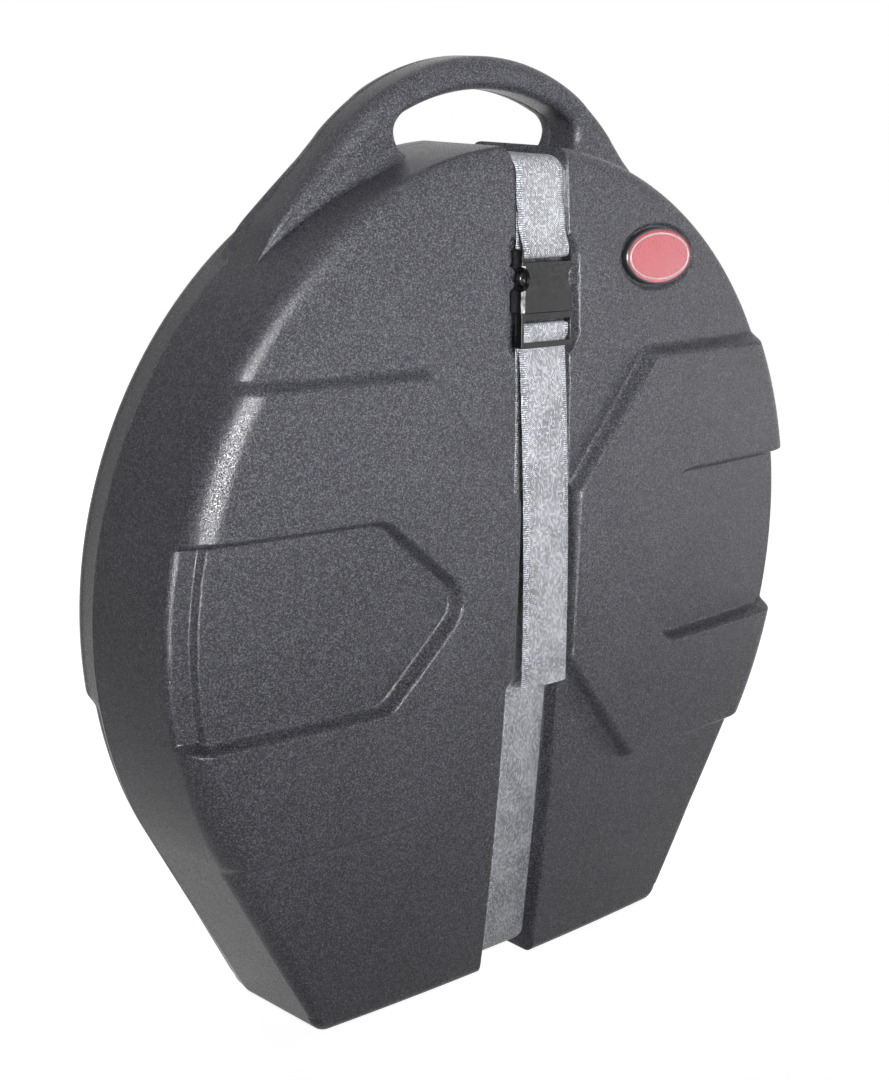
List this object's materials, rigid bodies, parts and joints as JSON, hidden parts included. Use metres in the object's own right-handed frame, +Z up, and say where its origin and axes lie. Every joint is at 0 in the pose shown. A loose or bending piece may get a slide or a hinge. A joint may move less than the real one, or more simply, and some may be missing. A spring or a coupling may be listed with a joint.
{
  "type": "cymbal case",
  "caption": "Round moulded hard case with a flat foot, a carrying handle over the top and one strap with a side release buckle; a post inside holds cymbals.",
  "frame": {"origin": "on the floor under the middle of the whole object's box", "axes": "+X to the right of someone who faces the buckle, +Y from the buckle's face towards the back, +Z up"},
  "size_m": [0.61, 0.144, 0.653],
  "materials": {
    "shell_plastic": "fine pebble texture moulded in",
    "foam": "plain cut foam",
    "webbing": "woven, with ribs along both edges",
    "buckle_plastic": "smooth",
    "badge_red": "satin, with a raised silver ring",
    "steel": "zinc plated",
    "felt": "felt"
  },
  "bodies": {
    "base": {"back_shell": "shell_plastic", "back_foam": "foam", "post_flange": "steel", "centre_post": "steel", "flange_screw_1": "steel", "flange_screw_2": "steel", "flange_screw_3": "steel", "flange_screw_4": "steel", "base_cup": "buckle_plastic", "lower_felt": "felt", "strap_back": "webbing"},
    "lid": {"front_shell": "shell_plastic", "front_foam": "foam", "strap_upper": "webbing", "strap_lower": "webbing", "buckle_socket": "buckle_plastic", "badge_holder": "buckle_plastic", "badge_plate": "badge_red"},
    "plug": {"buckle_plug": "buckle_plastic", "strap_tail": "webbing"},
    "right_prong": {"prong_right": "buckle_plastic"},
    "left_prong": {"prong_left": "buckle_plastic"},
    "clamp": {"clamp_washer": "steel", "upper_felt": "felt"},
    "nut": {"wing_nut": "steel"}
  },
  "joints": [
    {"name": "lid_lift_off", "type": "slide", "parent": "base", "child": "lid", "axis": [0, -1, 0], "range_m": [0, 0.15]},
    {"name": "plug_release", "type": "slide", "parent": "lid", "child": "plug", "axis": [0, -0.0505, -0.9987], "range_m": [0, 0.032], "deforming": ["prong_right", "prong_left"]},
    {"name": "press_right_button", "type": "hinge", "parent": "plug", "child": "right_prong", "pos_m": [0.015, -0.051, 0.48723], "axis": [0, -0.9987, 0.0505], "range_deg": [0, 11], "stiffness_Nm_per_rad": 0.8},
    {"name": "press_left_button", "type": "hinge", "parent": "plug", "child": "left_prong", "pos_m": [-0.015, -0.051, 0.48723], "axis": [0, -0.9987, 0.0505], "range_deg": [-11, 0], "stiffness_Nm_per_rad": 0.8},
    {"name": "clamp_travel", "type": "slide", "parent": "base", "child": "clamp", "axis": [0, -1, 0], "range_m": [0, 0.03]},
    {"name": "nut_spin", "type": "hinge", "parent": "clamp", "child": "nut", "pos_m": [0, 0.02625, 0.2963], "axis": [0, -1, 0], "range_deg": [0, 8640]}
  ],
  "couplings": [
    {"joint": "press_left_button", "follows": "press_right_button", "ratio": -1},
    {"joint": "clamp_travel", "follows": "nut_spin", "m_per_rad": 0.00019894}
  ]
}
